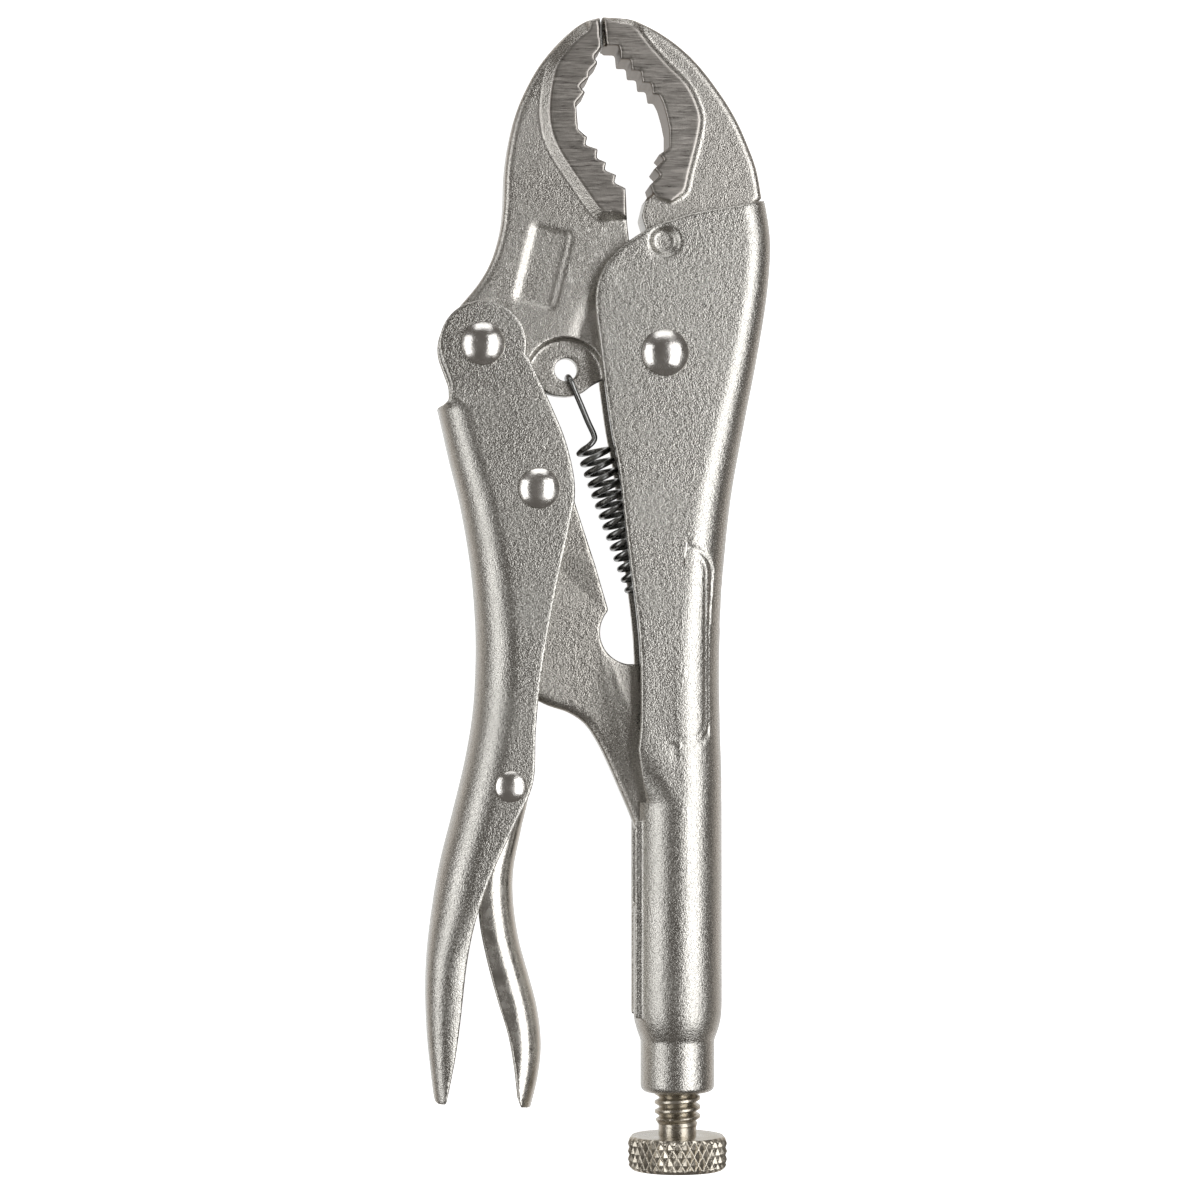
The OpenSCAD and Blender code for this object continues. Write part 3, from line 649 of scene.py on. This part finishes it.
STEP_Y = -8.4
HANDLE_BACK = curve([
    (-34.3, STEP_Y), (-32.6, -16), (-30.9, -23), (-29.5, -31), (-28.7, -39), (-28.5, -46),
    (-28.9, -54), (-30.1, -61.5), (-32, -69.5), (-34.1, -78), (-35.5, -87), (-36.1, -95),
    (-35.9, -103), (-35.2, -110), (-34.7, -114)], 10)
HANDLE_EDGE = curve([
    (-20.8, -0.6), (-17.6, -7.4), (-15, -13.8), (-13.7, -20.5), (-14.5, -26.2),
    (-16.8, -37.2), (-18.8, -49), (-19.6, -57), (-20, -65), (-22.6, -71), (-26.4, -79.2),
    (-28.7, -86), (-30, -92.5), (-30.9, -100.7), (-31.6, -106), (-32.4, -110.4),
    (-33.1, -113.6)], 8)
HANDLE_LIP = [(-114, -32.4), (-110, -32.7), (-103, -32.8), (-92, -32.1), (-84, -29.4),
              (-76, -22), (-60, -14), (-9, -10)]
HANDLE_CURL = [(-103, 30), (-92, 36), (-84, 20), (-76, EDGE_CURL)]
HANDLE_SHEET = 1.6
HANDLE_HALF = [(-114, HALF_W - 1.2), (-95, HALF_W - 0.2), (-85, HALF_W)]
HANDLE_FOLD = [(-114, 2.2), (-110, 2.4), (-103, 3), (-92, 3.8), (-84, 5.6), (-72, 6.3),
               (-45, 6.4), (-22, 5.6), (-8, FOLD)]


def movable_handle():
    """Channel with two ears round the movable jaw, cut to its side outline."""
    backs = [(-44, 9), (-42, 2.5), (-40, -4), *HANDLE_BACK]
    sections = [
        (y, x, lookup(y, HANDLE_LIP), lookup(y, HANDLE_HALF), lookup(y, HANDLE_FOLD),
         lookup(y, HANDLE_CURL), HANDLE_SHEET)
        for x, y in backs]
    shell = channel("movable_handle_sheet", sections, -1)
    step = [(-32.5, -4.6), (-32.4, -6.2), (-32.8, -7.3), (-33.6, -8), (-34.6, -8.3),
            (-42, STEP_Y)]
    foot = [(-42, -112), (-35.4, -112.9), (-34.2, -113.6)]
    outline = [*arc(JAW_RIVET, 6.6, 345, 562, 40), *step, *foot, *HANDLE_EDGE[::-1]]
    boolean(shell, prism("edge", outline, -14, 14), "INTERSECT")
    cut(shell, pin_hole(JAW_RIVET, JAW_RIVET_D), pin_hole(LINK_RIVET, LINK_RIVET_D),
        pin_hole(LEVER_RIVET, LEVER_RIVET_D))
    softened(shell, voxel=0.22, passes=5)
    to_row(shell, "movable_handle", "movable_handle", "handle_nickel", HANDLE_NICKEL)


# --- Release lever ----------------------------------------------------------------------

LEVER_BACK = curve([
    (-21.6, -56), (-20.7, -60), (-20.3, -66), (-21.6, -72.5), (-22.7, -78.5), (-22.7, -83.5),
    (-21.9, -89), (-20.4, -94.5), (-19.1, -99.5), (-18.5, -105), (-19, -110),
    (-20.1, -114.6)], 10)
LEVER_HALF = [(-115, 3.6), (-100, 4.2)]
LEVER_FOLD = [(-115, 3.3), (-100, 3.9), (-80, 3.9), (-66, 2.4)]
LEVER_LIP = -34
LEVER_SHEET = 1.5


def release_lever():
    sections = [
        (y, x, LEVER_LIP, lookup(y, LEVER_HALF), lookup(y, LEVER_FOLD), EDGE_CURL, LEVER_SHEET)
        for x, y in LEVER_BACK]
    shell = channel("release_lever_sheet", sections, 1)
    outline = [(-16, -55), (-16, -115), (-20.4, -114.6), (-21.7, -114.4),
               *curve([(-22, -113.6), (-22.5, -109), (-23.4, -104), (-25.1, -98.4),
                       (-26.7, -92.3), (-27.8, -86.5), (-28.1, -80), (-27.7, -72),
                       (-27.2, -66)], 6),
               *curve([(-27, -64.6), (-25.6, -60.4), (-24, -58), (-22.4, -57.2),
                       (-21.2, -57.6)], 6),
               (-20, -57.6), (-20, -55)]
    boolean(shell, prism("edge", outline, -9, 9), "INTERSECT")
    cut(shell, pin_hole(LEVER_RIVET, LEVER_RIVET_D))
    softened(shell, voxel=0.13, passes=6)
    to_row(shell, "release_lever", "release_lever", "lever_nickel", LEVER_NICKEL)


# --- Toggle link ------------------------------------------------------------------------

TAIL = (2.4, -80)
TAIL_R = 3.3
LINK_HALF = 4.5
LINK_TAIL_HALF = 2.45
LINK_SHEET = 1.8
TAPER_FROM = 8
TAPER_RUN = 36
LINK_OPEN = [
    *arc(TAIL, TAIL_R, 0, 12, 3), (4.2, -66), (0.4, -54.5), (-2.6, -49),
    *arc((-4.8, -42.3), 4.9, 278, 138), (-10.4, -32.4), (-13.6, -22.6)]
LINK_BACK = curve([
    (-24.3, -22), (-23.6, -30), (-22.4, -40), (-21.4, -48), (-20.4, -51.6), (-17.8, -53.4),
    (-14.4, -54.6), (-11.8, -56.4), (-9.9, -59.2), (-8.3, -62.4), (-6.8, -65.8), (-5, -70),
    (-2.9, -75.6), (-0.9, -80.4)], 6)


def tapered(obj, half, tail_half):
    """Narrows a plate smoothly, from half thickness half at the rivet to tail_half."""
    start, run = np.array(LINK_RIVET), np.array(TAIL) - LINK_RIVET
    run /= np.linalg.norm(run)

    def change(points, normals):
        u = np.clip(((points[:, :2] - start) @ run - TAPER_FROM) / TAPER_RUN, 0, 1)
        points[:, 2] *= 1 + (tail_half / half - 1) * u * u * (3 - 2 * u)
        return points
    moved_points(obj, change)
    return obj


def toggle_link():
    outline = (LINK_OPEN + arc(LINK_RIVET, 5.4, 0, 180) + LINK_BACK
               + arc(TAIL, TAIL_R, 188, 352))
    first = len(LINK_OPEN) + 25
    radii = np.full(len(outline), 0.2)
    radii[first + 4:first + len(LINK_BACK) - 3] = 1.5
    link = rounded_plate("toggle_link_sheet", outline, LINK_HALF, radii)
    tapered(link, LINK_HALF, LINK_TAIL_HALF)
    back_inside = [(x + LINK_SHEET, y + 0.4 * LINK_SHEET) for x, y in LINK_BACK if y > -71]
    hollow = prism("hollow", [(10, -10), (-24.3 + LINK_SHEET, -14), *back_inside, (10, -71)],
                   -(LINK_HALF - LINK_SHEET), LINK_HALF - LINK_SHEET)
    settle_lines(hollow)
    tapered(hollow, LINK_HALF - LINK_SHEET, LINK_TAIL_HALF - LINK_SHEET)
    cut(link, hollow, pin_hole(LINK_RIVET, LINK_RIVET_D))
    softened(link, voxel=0.2, passes=4)
    to_row(link, "toggle_link", "toggle_link", "link_nickel", LINK_NICKEL)


def settle_lines(obj):
    """Cuts long straight sides, so that a taper bends them where it should."""
    bm = bmesh.new()
    bm.from_mesh(obj.data)
    bmesh.ops.triangulate(bm, faces=bm.faces)
    bmesh.ops.subdivide_edges(bm, edges=bm.edges, cuts=3, use_grid_fill=True)
    bm.to_mesh(obj.data)
    bm.free()


# --- Adjusting screw --------------------------------------------------------------------

PITCH = 1.4
THREAD_DEPTH = 0.72
TAIL_GAP = 3.7
NOSE_R = 3.3
NOSE_BEVEL = 0.8
NOSE_TIP = TAIL[1] - TAIL_R - TAIL_GAP
NOSE_END = NOSE_TIP - 3.4
NECK_FROM = -117.4
KNOB_FROM = -119.2
KNOB_END = -124.3
KNOB_R = 7.6
KNOB_BEVEL = 0.6
KNURL_ROUND = 34
KNURL_RISE = 2.4
KNURL_DEPTH = 0.5
NECK_R = 2.9


def screw_surface(name, lengthwise, around, radius):
    """Closed skin about the screw's axis whose radius is radius(turn, y)."""
    turns = [k / around for k in range(around)]
    rings = []
    for y in lengthwise:
        rings.append([(SCREW_X + radius(t, y) * math.cos(2 * math.pi * t), y,
                       radius(t, y) * math.sin(2 * math.pi * t)) for t in turns])
    return stack(name, rings)


def thread_radius(turn, y):
    """Rounded V thread that runs out into the plain neck."""
    phase = (y / PITCH + turn) % 1.0
    ridge = 0.5 + 0.5 * math.cos(2 * math.pi * phase)
    crest = THREAD_R - THREAD_DEPTH * (1 - min(1.0, ridge * 1.25) ** 0.8)
    plain = min(1.0, max(0.0, (NECK_FROM + 1.0 - y) / 1.4))
    entry = min(1.0, max(0.0, (NOSE_END - 0.05 - y) / 0.8))
    return (crest * (1 - plain) + NECK_R * plain) * (0.86 + 0.14 * entry)


def knob_radius(turn, y):
    """Diamond knurl between two bevelled rims."""
    u, v = KNURL_ROUND * turn, (y - KNOB_FROM) / KNURL_RISE
    first, second = (u + v) % 1.0, (u - v) % 1.0
    pyramid = min(0.5 - abs(first - 0.5), 0.5 - abs(second - 0.5)) * 2
    bevel = min(y - KNOB_END, KNOB_FROM - y)
    rim = KNOB_BEVEL * max(0.0, 1 - bevel / KNOB_BEVEL)
    return KNOB_R - rim - KNURL_DEPTH * (1 - pyramid) * min(1.0, bevel / 0.7)


def adjusting_screw():
    """Threaded shank and knurled knob."""
    around = 72 if FINE else 36
    steps = int((NOSE_END - 0.05 - KNOB_FROM + 0.4) / PITCH * (14 if FINE else 8))
    thread = screw_surface("adjusting_screw_turned",
                           np.linspace(NOSE_END - 0.05, KNOB_FROM - 0.4, steps), around,
                           thread_radius)
    knurl = screw_surface("knob", np.linspace(KNOB_FROM, KNOB_END, 44), 408 if FINE else 136,
                          knob_radius)
    screw = joined(thread, knurl)
    to_row(screw, "adjusting_screw", "adjusting_screw", "screw_nickel", SCREW_NICKEL)
    screw.data.set_sharp_from_angle(angle=math.radians(50))


def screw_nose():
    """Smooth tip of the screw, with a rounded end."""
    rounding = arc((0, NOSE_TIP - NOSE_BEVEL), NOSE_BEVEL, 90, 0)
    profile = [(0, NOSE_TIP), *[(NOSE_R - NOSE_BEVEL + x, y) for x, y in rounding],
               (NOSE_R, NOSE_END), (0, NOSE_END)]
    nose = lathe_y("screw_nose_turned", profile)
    to_row(nose, "screw_nose", "screw_nose", "screw_nickel", SCREW_NICKEL)
    nose.data.set_sharp_from_angle(angle=math.radians(50))


# --- Return spring ----------------------------------------------------------------------

SPRING_END = (-0.8, TAB_Y)
WIRE_R = 0.45
MEAN_R = 2.2
COIL_FROM = 12.7
COIL_L = 23
COIL_TURNS = 13
WIRE_SIDES = 12


def spring_path():
    """Wire centre line: along the spring from the hook hole, then across it, then along Z."""
    run = np.array(SPRING_END) - HOOK
    length = np.linalg.norm(run)
    front = LUG_HALF + 0.65
    steps = 28 if FINE else 14
    hook = curve([
        (3.6, 0, -front), (2.1, 0, -front - 0.1), (1.3, 0, -front + 0.5), (1.1, 0, -0.8),
        (1.1, 0, 0.8), (1.3, 0, front - 0.5), (2.1, 0.1, front + 0.1), (4, 0.2, front),
        (6.2, 0.35, front), (8.6, 0.5, front - 0.1), (10.6, 0.7, front - 0.2),
        (11.5, 0.5, front - 0.2), (12.1, -0.5, 2.15), (12.4, -1.6, 1.5),
        (COIL_FROM, -MEAN_R, 0)], 6)
    coil = []
    last = COIL_TURNS * steps + steps // 2
    for k in range(1, last + 1):
        a = math.pi + 2 * math.pi * k / steps
        coil.append((COIL_FROM + COIL_L * k / last, MEAN_R * math.cos(a), MEAN_R * math.sin(a)))
    loop = [(length + MEAN_R * math.cos(math.radians(a)), 0, MEAN_R * math.sin(math.radians(a)))
            for a in range(100, -141, -20)]
    tail = curve([coil[-1], (COIL_FROM + COIL_L + 1.2, 1.7, 1.2), (length - 3.4, 0.7, 1.9),
                  loop[0]], 6)
    ahead = run / length
    path = hook + coil + tail[1:] + loop[1:]
    flat = np.array([p[0] * ahead + p[1] * np.array((-ahead[1], ahead[0])) for p in path]) + HOOK
    return np.column_stack([flat, [p[2] for p in path]])


def wire(name, path, radius, sides):
    """Round wire along the path, each ring turned as little as it can be."""
    heading = np.gradient(path, axis=0)
    heading /= np.linalg.norm(heading, axis=1)[:, None]
    across = np.cross(heading[0], (0, 1, 0))
    rings = []
    for point, ahead in zip(path, heading):
        across = across - (across @ ahead) * ahead
        across /= np.linalg.norm(across)
        other = np.cross(ahead, across)
        rings.append([point + radius * (math.cos(a) * across + math.sin(a) * other)
                      for a in np.linspace(0, 2 * math.pi, sides, endpoint=False)])
    return stack(name, rings)


def return_spring():
    spring = wire("return_spring_wire", spring_path(), WIRE_R, WIRE_SIDES)
    to_row(spring, "return_spring", "fixed_side", "spring_steel", SPRING_STEEL)
    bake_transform(spring)


# --- Rivets -----------------------------------------------------------------------------

SEAT_GAP = 0.02
HEAD_RIM = 0.42


def rivet(node, body, at, shank_d, head_d, head_h):
    """Rivet with a domed head on both outer faces; each head ends in a small upright rim."""
    seat = HALF_W + SEAT_GAP
    rise = head_h - HEAD_RIM
    head_r = head_d / 2
    dome_r = (head_r ** 2 + rise ** 2) / (2 * rise)
    edge = math.degrees(math.asin(head_r / dome_r))
    dome = arc((0, seat + head_h - dome_r), dome_r, 90 - edge, 90, 20)
    upper = [(shank_d / 2, 0), (shank_d / 2, seat), (head_r - 0.1, seat),
             (head_r, seat + 0.1), *dome]
    profile = [(r, -z) for r, z in upper[:0:-1]] + upper[1:]
    piece = lathe_z(node + "_turned", at, profile, 72)
    to_row(piece, node, body, "rivet_nickel", RIVET_NICKEL)
    piece.data.set_sharp_from_angle(angle=math.radians(60))


# --- Stage, lights and camera -----------------------------------------------------------

LIGHT_AWAY = 0.6
PALE = 0.95
DIM = 0.14
DIM_TINT = (1.0, 0.93, 0.86)
WHITE = (1, 1, 1)
CENTRE = (0, 0, 0)
# Name, lean from overhead, heading, size and strength of each softbox.
SOFTBOXES = [
    ("softbox_right", 37, 0, (0.38, 0.8), 3.0),
    ("softbox_left", -58, 0, (0.3, 0.7), 2.1),
    ("softbox_jaws", 72, 90, (0.26, 0.5), 1.8)]
CAMERA_LENS = 109.7
CAMERA_AT = (-0.0399, -0.0063, 0.5661)
CAMERA_TARGET = (0.00038, -0.00084, PIVOT.z)


def emitter(name, centre, size, strength):
    """White panel facing the centre, that shows in gloss and that the camera doesn't see."""
    bpy.ops.mesh.primitive_plane_add(size=1)
    panel = bpy.context.object
    panel.name = name
    panel.scale = (*size, 1)
    panel.location = centre
    towards = (Vector(CENTRE) - Vector(centre)).normalized()
    along = Vector((0, 1, 0) if towards.z > 0.99 else (0, 0, 1)).cross(towards).normalized()
    panel.rotation_mode = "QUATERNION"
    panel.rotation_quaternion = Matrix(
        (along.cross(towards), along, towards)).transposed().to_quaternion()
    material = bpy.data.materials.new(name)
    material.use_nodes = True
    shader = material.node_tree.nodes["Principled BSDF"]
    shader.inputs["Base Color"].default_value = (0, 0, 0, 1)
    shader.inputs["Emission Color"].default_value = (*WHITE, 1)
    shader.inputs["Emission Strength"].default_value = strength
    panel.data.materials.append(material)
    panel.visible_camera = False
    panel.visible_diffuse = centre[2] > 0
    panel.visible_shadow = False


def floor():
    """Pale floor. Gloss looks through it, to a pale panel far below the object."""
    bpy.ops.mesh.primitive_plane_add(size=6)
    ground = bpy.context.object
    ground.name = "floor"
    material = bpy.data.materials.new("floor")
    material.use_nodes = True
    shader = material.node_tree.nodes["Principled BSDF"]
    shader.inputs["Base Color"].default_value = (0.8, 0.8, 0.8, 1)
    shader.inputs["Roughness"].default_value = 0.9
    shader.inputs["Specular IOR Level"].default_value = 0.1
    shader.inputs["Emission Color"].default_value = (*WHITE, 1)
    shader.inputs["Emission Strength"].default_value = PALE
    ground.data.materials.append(material)
    ground.visible_glossy = False
    emitter("backdrop_below", (0, 0, -0.5), (0.9, 0.9), PALE)


def lit_from(lean, heading):
    """Place of a light at an angle from overhead, leaning towards a heading about Z."""
    lean, heading = math.radians(lean), math.radians(heading)
    return tuple(LIGHT_AWAY * c for c in (
        math.sin(lean) * math.cos(heading), math.sin(lean) * math.sin(heading), math.cos(lean)))


def surround():
    """World that is pale to the camera; to the object it is dim overhead and pale below."""
    world = bpy.data.worlds.new("studio")
    world.use_nodes = True
    background = world.node_tree.nodes["Background"]
    background.inputs["Color"].default_value = (*DIM_TINT, 1)
    nodes, links = world.node_tree.nodes, world.node_tree.links
    direction = nodes.new("ShaderNodeTexCoord")
    upward = nodes.new("ShaderNodeSeparateXYZ")
    links.new(direction.outputs["Generated"], upward.inputs["Vector"])
    ramp = nodes.new("ShaderNodeMapRange")
    ramp.interpolation_type = "SMOOTHSTEP"
    for socket, value in (("From Min", -0.8), ("From Max", -0.05),
                          ("To Min", PALE), ("To Max", DIM)):
        ramp.inputs[socket].default_value = value
    links.new(upward.outputs["Z"], ramp.inputs["Value"])
    links.new(ramp.outputs["Result"], background.inputs["Strength"])
    pale = nodes.new("ShaderNodeBackground")
    pale.inputs["Color"].default_value = (*WHITE, 1)
    seen = nodes.new("ShaderNodeLightPath")
    mixed = nodes.new("ShaderNodeMixShader")
    links.new(seen.outputs["Is Camera Ray"], mixed.inputs[0])
    links.new(background.outputs["Background"], mixed.inputs[1])
    links.new(pale.outputs["Background"], mixed.inputs[2])
    links.new(mixed.outputs["Shader"], nodes["World Output"].inputs["Surface"])
    bpy.context.scene.world = world


def studio():
    """A high softbox on the right, and low ones on the left and behind the jaws."""
    surround()
    for name, lean, heading, size, strength in SOFTBOXES:
        emitter(name, lit_from(lean, heading), size, strength)


def camera():
    """Camera at the photograph's viewing angle, with the jaws' end of the tool up."""
    data = bpy.data.cameras.new("camera")
    data.lens = CAMERA_LENS
    data.sensor_width = 36
    data.clip_start, data.clip_end = 0.01, 10
    view = bpy.data.objects.new("camera", data)
    view.location = CAMERA_AT
    back = (view.location - Vector(CAMERA_TARGET)).normalized()
    right = Vector((0, 1, 0)).cross(back).normalized()
    view.rotation_mode = "QUATERNION"
    view.rotation_quaternion = Matrix((right, back.cross(right), back)).transposed().to_quaternion()
    bpy.context.scene.collection.objects.link(view)
    bpy.context.scene.camera = view


fixed_handle()
fixed_jaw()
movable_jaw()
movable_handle()
release_lever()
toggle_link()
adjusting_screw()
screw_nose()
return_spring()
rivet("main_pivot_rivet", "fixed_side", MAIN, MAIN_D, 7.1, PIVOT.z / MM - HALF_W - SEAT_GAP)
rivet("jaw_handle_rivet", "movable_handle", JAW_RIVET, JAW_RIVET_D, 6.5, 1.7)
rivet("link_rivet", "movable_handle", LINK_RIVET, LINK_RIVET_D, 6.15, 1.6)
rivet("release_lever_rivet", "movable_handle", LEVER_RIVET, LEVER_RIVET_D, 4.7, 1.2)
floor()
studio()
camera()
bpy.context.scene.view_settings.view_transform = "Standard"
